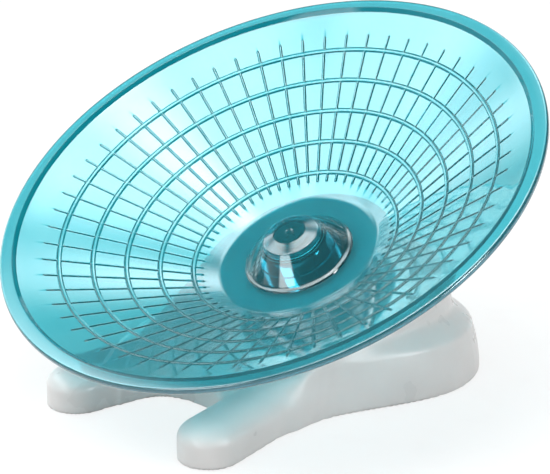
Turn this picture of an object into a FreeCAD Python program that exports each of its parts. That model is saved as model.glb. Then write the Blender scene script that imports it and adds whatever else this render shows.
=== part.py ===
import FreeCAD, Part
import math
import os

# A small animal running disc. A transparent dish spins on a ball bearing, on a short steel axle
# that leans forward out of a hollow stand with two front legs and a broad rear body.
# Frame: millimetres, +Z up, origin on the floor under the middle of the rim.
# -Y is the front, where the legs point and the dish leans. Dish sizes are given along its own axis,
# with height zero in the plane of the rim and negative heights below it.

Vector = FreeCAD.Vector

# Dish
RIM_RADIUS = 100.0
RIM_HEIGHT = 74.0
DISH_LEAN = 27.35
DISH_WALL = 1.9
DISH_FLOOR_RADIUS = 29.0
DISH_FLOOR_DEPTH = 35.3
DISH_FLOOR_FILLET = 4.0
CONE_ANGLE = 28.63

# Rolled lip of the dish
LIP_WIDTH = 9.6
LIP_STEP_HEIGHT = 3.1
LIP_STEP_RUN = 1.2
LIP_CREST_WIDTH = 4.9
LIP_CREST_HEIGHT = 1.7
LIP_EDGE_HALF_THICKNESS = 1.1
LIP_EDGE_ROUND = 1.0
LIP_UNDER_DROP = 0.55

# Grip pattern on the running surface
RING_COUNT = 5
RING_OUTER_RADIUS = 80.5
RING_SPACING = 10.6
RING_WIDTH = 1.8
RING_HEIGHT = 0.7
RIB_COUNT = 60
RIB_INNER_RADIUS = 34.7
RIB_OUTER_RADIUS = 85.0
RIB_WIDTH = 1.0
RIB_HEIGHT = 0.6
RIB_FIRST_ANGLE = 1.65

# Ball bearing, a common 8 x 22 x 7 size
BEARING_BORE_RADIUS = 4.0
BEARING_OUTER_RADIUS = 11.0
BEARING_WIDTH = 7.0
INNER_RACE_LAND_RADIUS = 6.1
OUTER_RACE_LAND_RADIUS = 9.0
BALL_COUNT = 7
BALL_RADIUS = 1.984
BALL_CLEARANCE = 0.05
CAGE_THICKNESS = 1.3
CAGE_WEB = 0.6
CAGE_RISE = 0.5
POCKET_CLEARANCE = 0.12
SHIELD_THICKNESS = 0.35
SHIELD_LEDGE = 0.55
SHIELD_SETBACK = 0.1
SHIELD_GAP = 0.25

# Bearing housing in the dish, and the hub cap over it
HOUSING_WALL = 2.2
HOUSING_SET_DOWN = 0.3
HOUSING_LEDGE_THICKNESS = 1.5
HOUSING_LEDGE_WIDTH = 1.8
SEAT_CLEARANCE = 0.02
CAP_WALL = 1.6
CAP_FOOT_RADIUS = 21.3
CAP_FOOT_HEIGHT = 1.5
CAP_FLARE_RADIUS = 16.4
CAP_FLARE_HEIGHT = 3.2
CAP_SHOULDER_HEIGHT = 7.4
CAP_HEIGHT = 11.0
CAP_TOP_RADIUS = 5.9
CAP_DIMPLE_RADIUS = 1.6
CAP_DIMPLE_DEPTH = 0.5
CAP_KEEPER_WIDTH = 1.1

# Axle, its clamp under the stand and its retainer above the bearing
AXLE_COLLAR_RADIUS = 6.0
AXLE_SHANK_LENGTH = 18.0
AXLE_TOP_SET_DOWN = 0.4
AXLE_CLEARANCE = 0.02
SCREW_RADIUS = 2.0
SCREW_DEPTH = 8.0
SCREW_CLEARANCE = 0.05
SCREW_HEAD_RADIUS = 3.8
SCREW_HEAD_HEIGHT = 1.5
DRIVE_SLOT_LENGTH = 4.5
DRIVE_SLOT_WIDTH = 1.0
DRIVE_SLOT_DEPTH = 0.7
RETAINER_WASHER_RADIUS = 5.9
RETAINER_WASHER_THICKNESS = 0.8
CLAMP_WASHER_RADIUS = 8.0
CLAMP_WASHER_THICKNESS = 1.2
AXLE_END_GAP = 0.6

# Stand, outline on the floor
STAND_WALL = 2.4
STAND_HALF_WIDTH = 57.2
STAND_REAR = 75.0
REAR_CORNER_RADIUS = 38.9
WAIST_HALF_WIDTH = 38.5
WAIST_POSITION = -28.0
FRONT_POSITION = -33.1
FRONT_CORNER_RADIUS = 8.0

# Stand, side profile
PLINTH_HEIGHT = 16.5
PLINTH_LEAN_IN = 2.9
SHOULDER_HEIGHT = 24.5
SHOULDER_INSET = 10.5
NECK_HEIGHT = 39.0
NECK_INSET = 12.0
WAIST_LEAN_IN = 2.0
FRONT_LEAN_BACK = 14.0
DECK_DROP = 1.6
HEAD_RADIUS = 31.0
HEAD_GAP = 1.4
HEAD_PLATE = 3.0

# Legs
LEG_HALF_WIDTH = 10.8
LEG_TIP_X = 32.3
LEG_TIP_Y = -61.8
LEG_TOE_OUT = 9.0
LEG_LENGTH = 46.0
LEG_WALL_HEIGHT = 7.5
LEG_HEIGHT = 14.4
LEG_SHOULDER_RADIUS = 4.8
LEG_DRAFT = 0.5
CROTCH_RADIUS = 20.0
WEB_HEIGHT = 9.0

# Socket for the axle inside the stand
SOCKET_RADIUS = 9.0
GUSSET_COUNT = 4
GUSSET_THICKNESS = 2.0
GUSSET_HEIGHT = 12.0

# Rubber foot pads
PAD_RADIUS = 4.6
PAD_THICKNESS = 1.8
PAD_PROUD = 0.3
PAD_CLEARANCE = 0.1
PAD_POST_WALL = 1.6
REAR_PAD_X = 33.0
REAR_PAD_Y = 46.0

# Derived heights along the dish axis
FLOOR_TOP = -DISH_FLOOR_DEPTH
FLOOR_UNDER = FLOOR_TOP - DISH_WALL
HEAD_TOP = FLOOR_UNDER - HEAD_GAP
DECK_TOP = HEAD_TOP - DECK_DROP
BEARING_BOTTOM = FLOOR_UNDER + HOUSING_LEDGE_THICKNESS
BEARING_TOP = BEARING_BOTTOM + BEARING_WIDTH
BEARING_MIDDLE = BEARING_BOTTOM + BEARING_WIDTH / 2
SOCKET_BOTTOM = HEAD_TOP - AXLE_SHANK_LENGTH - AXLE_END_GAP
PITCH_RADIUS = (BEARING_BORE_RADIUS + BEARING_OUTER_RADIUS) / 2

# Small allowances used while cutting and joining
CUT_MARGIN = 1.0
FAR = 400.0
SAME_POINT = 1e-6

# Sections of the stand body, and points on each curve of a section
SECTION_COUNT = 9
SECTION_STEPS = 4


def dish_to_world(shape):
    """Leans a shape built round the upright dish axis and lifts it to the rim's place."""
    placed = shape.copy()
    placed.rotate(Vector(0, 0, 0), Vector(1, 0, 0), DISH_LEAN)
    placed.translate(Vector(0, 0, RIM_HEIGHT))
    return placed


def rounded_wire(corners):
    """Joins (radius, height, fillet) corners into one closed wire in the XZ plane."""
    count = len(corners)
    starts = []
    edges = []
    for index, (x, z, fillet) in enumerate(corners):
        here = Vector(x, 0, z)
        before = Vector(corners[index - 1][0], 0, corners[index - 1][1])
        after_corner = corners[(index + 1) % count]
        after = Vector(after_corner[0], 0, after_corner[1])
        if fillet == 0:
            starts.append((here, here, here))
            continue
        to_before = (before - here).normalize()
        to_after = (after - here).normalize()
        half_angle = to_before.getAngle(to_after) / 2
        reach = fillet / math.tan(half_angle)
        bisector = (to_before + to_after).normalize()
        middle = here + bisector * (fillet / math.sin(half_angle) - fillet)
        starts.append((here + to_before * reach, middle, here + to_after * reach))
    for index, (enter, middle, leave) in enumerate(starts):
        if enter.distanceToPoint(leave) > SAME_POINT:
            edges.append(Part.Arc(enter, middle, leave).toShape())
        following = starts[(index + 1) % count][0]
        if leave.distanceToPoint(following) > SAME_POINT:
            edges.append(Part.LineSegment(leave, following).toShape())
    return Part.Wire(edges)


def turned(corners):
    """Revolves a closed section of (radius, height, fillet) corners about the Z axis."""
    face = Part.Face(rounded_wire(corners))
    return face.revolve(Vector(0, 0, 0), Vector(0, 0, 1), 360)


def ring(inner_radius, outer_radius, bottom, top):
    """Plain ring of rectangular section about the Z axis."""
    return turned([(inner_radius, bottom, 0), (outer_radius, bottom, 0),
                   (outer_radius, top, 0), (inner_radius, top, 0)])


def cylinder(radius, bottom, top, x=0.0, y=0.0):
    """Upright cylinder between two heights."""
    return Part.makeCylinder(radius, top - bottom, Vector(x, y, bottom))


def cone_height(radius):
    """Height of the running surface at a radius."""
    return FLOOR_TOP + (radius - DISH_FLOOR_RADIUS) * math.tan(math.radians(CONE_ANGLE))


def cone_point(radius, along, above, fillet):
    """Corner on the running surface, moved up the slope and away from it."""
    slope = math.radians(CONE_ANGLE)
    return (radius + along * math.cos(slope) - above * math.sin(slope),
            cone_height(radius) + along * math.sin(slope) + above * math.cos(slope), fillet)


def ring_corners():
    """Corners of the raised rings, from the innermost ring outwards."""
    corners = []
    for index in reversed(range(RING_COUNT)):
        radius = RING_OUTER_RADIUS - index * RING_SPACING
        top_half = RING_WIDTH / 2 - RING_HEIGHT / 2
        corners += [cone_point(radius, -RING_WIDTH / 2, 0, 0),
                    cone_point(radius, -top_half, RING_HEIGHT, RING_HEIGHT / 3),
                    cone_point(radius, top_half, RING_HEIGHT, RING_HEIGHT / 3),
                    cone_point(radius, RING_WIDTH / 2, 0, 0)]
    return corners


def lip_corners():
    """Corners of the rolled lip, over the top and back along the underside to the cone."""
    foot_radius = RIM_RADIUS - LIP_WIDTH
    foot_height = cone_height(foot_radius)
    step_radius = foot_radius + LIP_STEP_RUN
    step_height = foot_height + LIP_STEP_HEIGHT
    crest_radius = step_radius + LIP_CREST_WIDTH
    under_crest = LIP_CREST_HEIGHT - DISH_WALL
    under_step_radius = step_radius + DISH_WALL
    under_foot_radius = under_step_radius - LIP_STEP_RUN
    under_foot_height = cone_height(under_foot_radius) - DISH_WALL / math.cos(math.radians(CONE_ANGLE))
    small_round = DISH_WALL / 3
    middle_round = DISH_WALL / 2
    large_round = DISH_WALL
    return [(foot_radius, foot_height, small_round),
            (step_radius, step_height, middle_round),
            (crest_radius, LIP_CREST_HEIGHT, large_round),
            (RIM_RADIUS, LIP_EDGE_HALF_THICKNESS, LIP_EDGE_ROUND),
            (RIM_RADIUS, -LIP_EDGE_HALF_THICKNESS, LIP_EDGE_ROUND),
            (crest_radius, under_crest - LIP_UNDER_DROP, middle_round),
            (under_step_radius, under_crest - LIP_UNDER_DROP / 2, small_round),
            (under_foot_radius, under_foot_height, small_round)]


def build_running_dish():
    """Dish with its floor, bearing housing, cone, raised rings, radial ribs and rolled lip."""
    bore = BEARING_OUTER_RADIUS + SEAT_CLEARANCE
    housing = bore + HOUSING_WALL
    ledge = bore - HOUSING_LEDGE_WIDTH
    housing_top = BEARING_TOP - HOUSING_SET_DOWN
    slope = math.radians(CONE_ANGLE)
    under_radius = DISH_FLOOR_RADIUS + DISH_WALL * math.tan(slope / 2)
    hub = [(ledge, FLOOR_UNDER, 0), (ledge, BEARING_BOTTOM, 0), (bore, BEARING_BOTTOM, 0),
           (bore, housing_top, 0), (housing, housing_top, HOUSING_WALL / 4), (housing, FLOOR_TOP, 0)]
    floor_corner = [(DISH_FLOOR_RADIUS, FLOOR_TOP, DISH_FLOOR_FILLET)]
    under_corner = [(under_radius, FLOOR_UNDER, DISH_FLOOR_FILLET + DISH_WALL)]
    dish = turned(hub + floor_corner + ring_corners() + lip_corners() + under_corner)
    return dish.fuse(rib_bars())


def rib_bars():
    """Radial ribs that lie on the running surface, sunk halfway into the wall."""
    slope = math.radians(CONE_ANGLE)
    length = (RIB_OUTER_RADIUS - RIB_INNER_RADIUS) / math.cos(slope)
    sunk = DISH_WALL / 2
    bar = Part.makeBox(length, RIB_WIDTH, RIB_HEIGHT + sunk, Vector(0, -RIB_WIDTH / 2, -sunk))
    bar.rotate(Vector(0, 0, 0), Vector(0, 1, 0), -CONE_ANGLE)
    bar.translate(Vector(RIB_INNER_RADIUS, 0, cone_height(RIB_INNER_RADIUS)))
    bars = []
    for index in range(RIB_COUNT):
        copy = bar.copy()
        copy.rotate(Vector(0, 0, 0), Vector(0, 0, 1), RIB_FIRST_ANGLE + index * 360.0 / RIB_COUNT)
        bars.append(copy)
    return bars


def build_hub_cap():
    """Bell-shaped cap that grips the housing and keeps the bearing down."""
    top = FLOOR_TOP + CAP_HEIGHT
    shoulder = FLOOR_TOP + CAP_SHOULDER_HEIGHT
    flare = FLOOR_TOP + CAP_FLARE_HEIGHT
    foot = FLOOR_TOP + CAP_FOOT_HEIGHT
    grip = BEARING_OUTER_RADIUS + SEAT_CLEARANCE + HOUSING_WALL + SEAT_CLEARANCE
    keeper_outer = BEARING_OUTER_RADIUS - SEAT_CLEARANCE
    keeper_inner = keeper_outer - CAP_KEEPER_WIDTH
    housing_top = BEARING_TOP - HOUSING_SET_DOWN + SEAT_CLEARANCE
    outside = [(CAP_FOOT_RADIUS, FLOOR_TOP, 0), (CAP_FOOT_RADIUS, foot, CAP_FOOT_HEIGHT / 2),
               (CAP_FLARE_RADIUS, flare, CAP_WALL), (grip + CAP_WALL, shoulder, CAP_WALL * 2),
               (CAP_TOP_RADIUS, top, CAP_WALL / 2),
               (CAP_DIMPLE_RADIUS, top, 0), (0, top - CAP_DIMPLE_DEPTH, 0)]
    inside = [(0, top - CAP_WALL, 0), (CAP_TOP_RADIUS, top - CAP_WALL, 0),
              (keeper_inner, shoulder - CAP_WALL / 4, 0), (keeper_inner, BEARING_TOP, 0),
              (keeper_outer, BEARING_TOP, 0), (keeper_outer, housing_top, 0),
              (grip, housing_top, 0), (grip, FLOOR_TOP, 0)]
    return turned(outside + inside)


def build_bearing():
    """Races, balls, cage and shields of the ball bearing, as a dictionary of node solids."""
    groove = Part.makeTorus(PITCH_RADIUS, BALL_RADIUS + BALL_CLEARANCE, Vector(0, 0, BEARING_MIDDLE))
    inner = ring(BEARING_BORE_RADIUS, INNER_RACE_LAND_RADIUS, BEARING_BOTTOM, BEARING_TOP).cut(groove)
    outer = ring(OUTER_RACE_LAND_RADIUS, BEARING_OUTER_RADIUS, BEARING_BOTTOM, BEARING_TOP).cut(groove)
    nodes = {"bearing_inner_race": inner}
    seat_radius = OUTER_RACE_LAND_RADIUS + SHIELD_LEDGE
    seat_depth = SHIELD_THICKNESS + SHIELD_SETBACK
    seats = {"lower": (BEARING_BOTTOM, BEARING_BOTTOM + seat_depth, BEARING_BOTTOM + SHIELD_SETBACK),
             "upper": (BEARING_TOP - seat_depth, BEARING_TOP, BEARING_TOP - seat_depth)}
    for side, (low, high, shield_bottom) in seats.items():
        outer = outer.cut(cylinder(seat_radius, low, high))
        nodes["bearing_shield_" + side] = ring(INNER_RACE_LAND_RADIUS + SHIELD_GAP, seat_radius,
                                               shield_bottom, shield_bottom + SHIELD_THICKNESS)
    nodes["bearing_outer_race"] = outer
    pocket_radius = BALL_RADIUS + POCKET_CLEARANCE
    cage = ring(PITCH_RADIUS - CAGE_THICKNESS / 2, PITCH_RADIUS + CAGE_THICKNESS / 2,
                BEARING_MIDDLE - pocket_radius - CAGE_WEB, BEARING_MIDDLE + CAGE_RISE)
    for index in range(BALL_COUNT):
        angle = 2 * math.pi * index / BALL_COUNT
        centre = Vector(PITCH_RADIUS * math.cos(angle), PITCH_RADIUS * math.sin(angle), BEARING_MIDDLE)
        cage = cage.cut(Part.makeSphere(pocket_radius, centre))
        nodes["bearing_ball_%d" % (index + 1)] = Part.makeSphere(BALL_RADIUS, centre)
    nodes["bearing_cage"] = cage
    return nodes


def build_axle():
    """Stub axle with a collar that stands on the head and carries the inner race."""
    journal = BEARING_BORE_RADIUS - AXLE_CLEARANCE
    top = BEARING_TOP - AXLE_TOP_SET_DOWN
    bottom = HEAD_TOP - AXLE_SHANK_LENGTH
    axle = cylinder(journal, bottom, top).fuse(cylinder(AXLE_COLLAR_RADIUS, HEAD_TOP, BEARING_BOTTOM))
    hole = SCREW_RADIUS + SCREW_CLEARANCE
    axle = axle.cut(cylinder(hole, top - SCREW_DEPTH - CUT_MARGIN, top))
    return axle.cut(cylinder(hole, bottom, bottom + SCREW_DEPTH + CUT_MARGIN))


def slotted_screw(under_head, direction):
    """Low-head screw with a cross slot; direction is +1 for a head on top and -1 for one below."""
    head_end = under_head + direction * SCREW_HEAD_HEIGHT
    tip = under_head - direction * SCREW_DEPTH
    head = cylinder(SCREW_HEAD_RADIUS, min(under_head, head_end), max(under_head, head_end))
    screw = head.fuse(cylinder(SCREW_RADIUS, min(under_head, tip), max(under_head, tip)))
    slot_bottom = min(head_end, head_end - direction * DRIVE_SLOT_DEPTH)
    for length, width in ((DRIVE_SLOT_LENGTH, DRIVE_SLOT_WIDTH), (DRIVE_SLOT_WIDTH, DRIVE_SLOT_LENGTH)):
        corner = Vector(-length / 2, -width / 2, slot_bottom)
        screw = screw.cut(Part.makeBox(length, width, DRIVE_SLOT_DEPTH, corner))
    return screw


def build_fasteners():
    """Retainer washer and screw above the bearing, clamp washer and screw below the socket."""
    hole = SCREW_RADIUS + SCREW_CLEARANCE
    retainer_top = BEARING_TOP + RETAINER_WASHER_THICKNESS
    clamp_bottom = SOCKET_BOTTOM - CLAMP_WASHER_THICKNESS
    return {"retainer_washer": ring(hole, RETAINER_WASHER_RADIUS, BEARING_TOP, retainer_top),
            "retainer_screw": slotted_screw(retainer_top, 1),
            "clamp_washer": ring(hole, CLAMP_WASHER_RADIUS, clamp_bottom, SOCKET_BOTTOM),
            "clamp_screw": slotted_screw(clamp_bottom, -1)}


def smooth_step(share):
    """Eased share that starts and ends level."""
    return share * share * (3 - 2 * share)


def body_section(height, inset, waist_inset, front):
    """Closed wire of the stand body's outline at one height, mirrored about the YZ plane."""
    half_width = STAND_HALF_WIDTH - inset
    waist = WAIST_HALF_WIDTH - waist_inset
    corner = REAR_CORNER_RADIUS - inset
    rear = STAND_REAR - inset
    front_corner_y = front + FRONT_CORNER_RADIUS
    waist_y = max(WAIST_POSITION, front_corner_y)
    rear_corner_y = rear - corner
    half = []
    for step in range(SECTION_STEPS):
        share = step / SECTION_STEPS
        half.append((share * (waist - FRONT_CORNER_RADIUS), front))
    for step in range(SECTION_STEPS):
        angle = math.pi / 2 * step / SECTION_STEPS
        half.append((waist - FRONT_CORNER_RADIUS * (1 - math.sin(angle)),
                     front_corner_y - FRONT_CORNER_RADIUS * math.cos(angle)))
    for step in range(SECTION_STEPS):
        share = step / SECTION_STEPS
        half.append((waist + (half_width - waist) * smooth_step(share),
                     waist_y + (rear_corner_y - waist_y) * share))
    for step in range(SECTION_STEPS):
        angle = math.pi / 2 * step / SECTION_STEPS
        half.append((half_width - corner * (1 - math.cos(angle)), rear_corner_y + corner * math.sin(angle)))
    half += [(half_width - corner, rear), ((half_width - corner) / 2, rear), (0.0, rear)]
    mirrored = [(-x, y) for x, y in reversed(half[1:-1])]
    points = [Vector(x, y, height) for x, y in half + mirrored]
    curve = Part.BSplineCurve()
    curve.interpolate(Points=points, PeriodicFlag=True)
    return Part.Wire([curve.toShape()])


def side_inset(height):
    """How far the body's side has drawn in at a height: leaning plinth, round shoulder, upright neck."""
    if height < PLINTH_HEIGHT:
        return PLINTH_LEAN_IN * (height / PLINTH_HEIGHT) ** 2
    if height < SHOULDER_HEIGHT:
        share = (height - PLINTH_HEIGHT) / (SHOULDER_HEIGHT - PLINTH_HEIGHT)
        return PLINTH_LEAN_IN + (SHOULDER_INSET - PLINTH_LEAN_IN) * smooth_step(share)
    share = (height - SHOULDER_HEIGHT) / (NECK_HEIGHT - SHOULDER_HEIGHT)
    return SHOULDER_INSET + (NECK_INSET - SHOULDER_INSET) * share


def stand_body(wall, floor):
    """Solid of the plinth, shoulder and neck, drawn in by a wall on every side and at the top."""
    wires = []
    for index in range(SECTION_COUNT):
        share = index / (SECTION_COUNT - 1)
        height = floor + share * (NECK_HEIGHT - wall - floor)
        level = share * NECK_HEIGHT
        wires.append(body_section(height, side_inset(level) + wall, share * WAIST_LEAN_IN + wall,
                                  FRONT_POSITION + wall + share * FRONT_LEAN_BACK))
    body = Part.makeLoft(wires, True, False)
    deck_cut = Part.makeBox(2 * FAR, 2 * FAR, FAR, Vector(-FAR, -FAR, DECK_TOP - wall))
    return body.cut(dish_to_world(deck_cut))


def leg(side, wall, floor):
    """One leg as a domed bar with a round toe, drawn in by a wall."""
    half_width = LEG_HALF_WIDTH - wall
    top_half_width = half_width - LEG_DRAFT
    crown = Vector(0, 0, LEG_HEIGHT - wall)
    spring = Vector(top_half_width, 0, LEG_WALL_HEIGHT)
    half = Part.Face(Part.Wire([
        Part.LineSegment(Vector(0, 0, floor), Vector(half_width, 0, floor)).toShape(),
        Part.LineSegment(Vector(half_width, 0, floor), spring).toShape(),
        *dome_arcs(spring, crown, LEG_SHOULDER_RADIUS - wall),
        Part.LineSegment(crown, Vector(0, 0, floor)).toShape()]))
    toe = half.revolve(Vector(0, 0, 0), Vector(0, 0, 1), -180)
    bar = half.extrude(Vector(0, LEG_LENGTH, 0)).fuse(half.mirror(Vector(0, 0, 0), Vector(1, 0, 0))
                                                      .extrude(Vector(0, LEG_LENGTH, 0)))
    whole = toe.fuse(bar).removeSplitter()
    whole.rotate(Vector(0, 0, 0), Vector(0, 0, 1), side * LEG_TOE_OUT)
    whole.translate(Vector(side * LEG_TIP_X, LEG_TIP_Y, 0))
    return whole


def arc_point(centre, radius, angle):
    """Point on an upright circle in the XZ plane."""
    return centre + Vector(radius * math.cos(angle), 0, radius * math.sin(angle))


def dome_arcs(spring, crown, shoulder):
    """Half of a leg's dome: a shoulder arc that runs into a flatter crown arc without a break."""
    across = spring.x - shoulder
    rise = crown.z - spring.z
    crown_radius = (across ** 2 + rise ** 2 - shoulder ** 2) / (2 * (rise - shoulder))
    shoulder_centre = Vector(across, 0, spring.z)
    crown_centre = Vector(0, 0, crown.z - crown_radius)
    turn = math.atan2(shoulder_centre.z - crown_centre.z, across)
    meeting = arc_point(crown_centre, crown_radius, turn)
    on_shoulder = arc_point(shoulder_centre, shoulder, turn / 2)
    on_crown = arc_point(crown_centre, crown_radius, (turn + math.pi / 2) / 2)
    return [Part.Arc(spring, on_shoulder, meeting).toShape(), Part.Arc(meeting, on_crown, crown).toShape()]


def stand_outside():
    """Outer form of the stand: body, head, legs and the web between the legs."""
    floor = PAD_PROUD
    body = stand_body(0.0, floor)
    head = dish_to_world(cylinder(HEAD_RADIUS, SOCKET_BOTTOM, HEAD_TOP))
    web_half = LEG_TIP_X - LEG_HALF_WIDTH / 2
    crotch_y = FRONT_POSITION - CROTCH_RADIUS
    web = Part.makeBox(2 * web_half, CROTCH_RADIUS + FRONT_CORNER_RADIUS, WEB_HEIGHT - floor,
                       Vector(-web_half, crotch_y, floor))
    web = web.cut(cylinder(CROTCH_RADIUS, floor - CUT_MARGIN, WEB_HEIGHT + CUT_MARGIN, 0.0, crotch_y))
    return body.fuse([head, web, leg(1, 0.0, floor), leg(-1, 0.0, floor)]).removeSplitter()


def stand_hollows():
    """Spaces inside the body, head and legs of the stand, open through the underside."""
    floor = PAD_PROUD - CUT_MARGIN
    head = dish_to_world(cylinder(HEAD_RADIUS - STAND_WALL, SOCKET_BOTTOM, HEAD_TOP - HEAD_PLATE))
    return [stand_body(STAND_WALL, floor), head, leg(1, STAND_WALL, floor), leg(-1, STAND_WALL, floor)]


def pad_places():
    """Centre of each foot pad on the floor, by name."""
    places = {}
    for side, sign in (("left", -1), ("right", 1)):
        places["foot_pad_front_" + side] = (sign * LEG_TIP_X, LEG_TIP_Y)
        places["foot_pad_rear_" + side] = (sign * REAR_PAD_X, REAR_PAD_Y)
    return places


def build_stand():
    """Hollow stand with its axle socket, gussets and foot pad posts."""
    stand = stand_outside().cut(stand_hollows())
    inside = [cylinder(SOCKET_RADIUS, SOCKET_BOTTOM, HEAD_TOP)]
    gusset_top = HEAD_TOP - HEAD_PLATE / 2
    gusset = Part.makeBox(HEAD_RADIUS - STAND_WALL / 2, GUSSET_THICKNESS, GUSSET_HEIGHT,
                          Vector(0, -GUSSET_THICKNESS / 2, gusset_top - GUSSET_HEIGHT))
    gusset_step = 360.0 / GUSSET_COUNT
    for index in range(GUSSET_COUNT):
        turn = gusset.copy()
        turn.rotate(Vector(0, 0, 0), Vector(0, 0, 1), gusset_step / 2 + index * gusset_step)
        inside.append(turn)
    additions = [dish_to_world(shape) for shape in inside]
    post_radius = PAD_RADIUS + PAD_CLEARANCE + PAD_POST_WALL
    mid_wall = STAND_WALL / 2
    core = stand_body(mid_wall, PAD_PROUD).fuse([leg(side, mid_wall, PAD_PROUD) for side in (1, -1)])
    for x, y in pad_places().values():
        additions.append(cylinder(post_radius, PAD_PROUD, NECK_HEIGHT, x, y).common(core))
    stand = stand.fuse(additions)
    bore = BEARING_BORE_RADIUS
    stand = stand.cut(dish_to_world(cylinder(bore, SOCKET_BOTTOM - CUT_MARGIN, HEAD_TOP + CUT_MARGIN)))
    for x, y in pad_places().values():
        stand = stand.cut(cylinder(PAD_RADIUS + PAD_CLEARANCE, PAD_PROUD - CUT_MARGIN, PAD_THICKNESS, x, y))
    return stand.removeSplitter()


def build_pads():
    """Rubber discs set into the underside, standing proud of it."""
    return {name: cylinder(PAD_RADIUS, 0.0, PAD_THICKNESS, x, y) for name, (x, y) in pad_places().items()}


def single_solid(shape):
    """Returns the one solid that a piece is made of."""
    solids = shape.Solids
    if len(solids) != 1:
        raise ValueError("expected one solid, found %d" % len(solids))
    return solids[0]


def main():
    """Builds every node and writes one file each."""
    turning = {"running_dish": build_running_dish(), "hub_cap": build_hub_cap(), "axle": build_axle()}
    turning.update(build_bearing())
    turning.update(build_fasteners())
    nodes = {name: dish_to_world(shape) for name, shape in turning.items()}
    nodes["stand"] = build_stand()
    nodes.update(build_pads())
    os.makedirs("parts", exist_ok=True)
    for name, shape in nodes.items():
        solid = single_solid(shape)
        solid.exportStep("parts/%s.step" % name)
        print("%-22s %9.1f mm3  valid %s" % (name, solid.Volume, solid.isValid()))


main()
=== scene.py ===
"""Looks of a small animal running disc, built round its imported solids.

A clear turquoise dish with a grip pattern spins over a hollow stand of milky plastic. The dish, its
hub cap and the stand are modelled here as finished meshes that stand for the plain solids. The steel,
nylon and rubber pieces keep their solids and get their finishes here.
Sizes of the pieces are in millimetres and become metres when a mesh is written. Sizes in finishes
and of the lamps and the floor are in metres.
"""

import logging
import math
from dataclasses import dataclass
from enum import Enum

import bpy
import numpy as np
from bpy.types import ID, AreaLight, Material, Node, NodeSocket, Object
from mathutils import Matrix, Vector

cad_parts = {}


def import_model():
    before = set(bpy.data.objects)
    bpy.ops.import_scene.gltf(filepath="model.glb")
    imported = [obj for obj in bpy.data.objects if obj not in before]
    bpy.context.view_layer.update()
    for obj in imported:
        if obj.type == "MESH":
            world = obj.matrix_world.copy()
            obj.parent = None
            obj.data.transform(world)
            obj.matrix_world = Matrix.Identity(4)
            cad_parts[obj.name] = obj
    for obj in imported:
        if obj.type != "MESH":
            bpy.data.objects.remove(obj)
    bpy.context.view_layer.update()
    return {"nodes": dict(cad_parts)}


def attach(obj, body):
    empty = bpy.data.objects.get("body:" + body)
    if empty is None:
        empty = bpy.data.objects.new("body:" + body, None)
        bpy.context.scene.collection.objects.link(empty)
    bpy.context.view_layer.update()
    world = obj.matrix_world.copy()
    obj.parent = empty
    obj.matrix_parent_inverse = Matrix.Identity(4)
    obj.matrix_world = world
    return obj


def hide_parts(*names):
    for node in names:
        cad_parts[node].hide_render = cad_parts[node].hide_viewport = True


LOG = logging.getLogger("running_disc")
MILLIMETRE = 0.001
NEAR_ZERO = 1e-9
SHARP_ANGLE = 50.0
NOISE_LOW = 0.3
NOISE_HIGH = 0.7
LAMP_MIDDLE = 0.5
WHITE = (1.0, 1.0, 1.0, 1.0)

Colour = tuple[float, float, float]


class Body(Enum):
    """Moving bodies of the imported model."""

    STAND = "stand_body"
    DISH = "dish_body"


class Slot(Enum):
    """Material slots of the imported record."""

    DISH = "dish_plastic"
    STAND = "stand_plastic"


class DishFace(Enum):
    """Places of the dish's plastics in its list of materials; FLANK and STEP are darker copies with
    painted shade.
    """

    CLEAR = 0
    FLANK = 1
    STEP = 2


def smooth_step(share: np.ndarray) -> np.ndarray:
    """Returns shares, clipped to the range 0 to 1 and eased so that they are level at both ends."""
    clipped = np.clip(share, 0.0, 1.0)
    return clipped * clipped * (3.0 - 2.0 * clipped)


def smooth_min(first: np.ndarray, second: np.ndarray, blend: float) -> np.ndarray:
    """Returns distances to two forms together, joined by a soft fillet as wide as the blend."""
    overlap = np.clip(blend - np.abs(first - second), 0.0, None) / blend
    return np.minimum(first, second) - overlap * overlap * blend / 4.0


def smooth_max(first: np.ndarray, second: np.ndarray, blend: float) -> np.ndarray:
    """Returns distances to what two forms share, with its edge rounded as wide as the blend."""
    return -smooth_min(-first, -second, blend)


@dataclass(frozen=True)
class DishAxis:
    """Place and lean of the axis that the dish turns about."""

    rim_height: float = 74.0
    lean: float = 27.35

    def turn(self) -> np.ndarray:
        """Returns the matrix that leans an upright point with the axis."""
        angle = math.radians(self.lean)
        return np.array([[1.0, 0.0, 0.0],
                         [0.0, math.cos(angle), -math.sin(angle)],
                         [0.0, math.sin(angle), math.cos(angle)]])

    def to_world(self, points: np.ndarray) -> np.ndarray:
        """Takes rows of x, y and height above the rim's plane to the shared frame."""
        return points @ self.turn().T + np.array([0.0, 0.0, self.rim_height])

    def to_dish(self, points: np.ndarray) -> np.ndarray:
        """Takes rows of x, y and z to x, y and height above the rim's plane, in the dish's frame."""
        return (points - np.array([0.0, 0.0, self.rim_height])) @ self.turn()


@dataclass(frozen=True)
class Corner:
    """Corner of a turned section, with the radius of its fillet."""

    radius: float
    height: float
    fillet: float = 0.0


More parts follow.
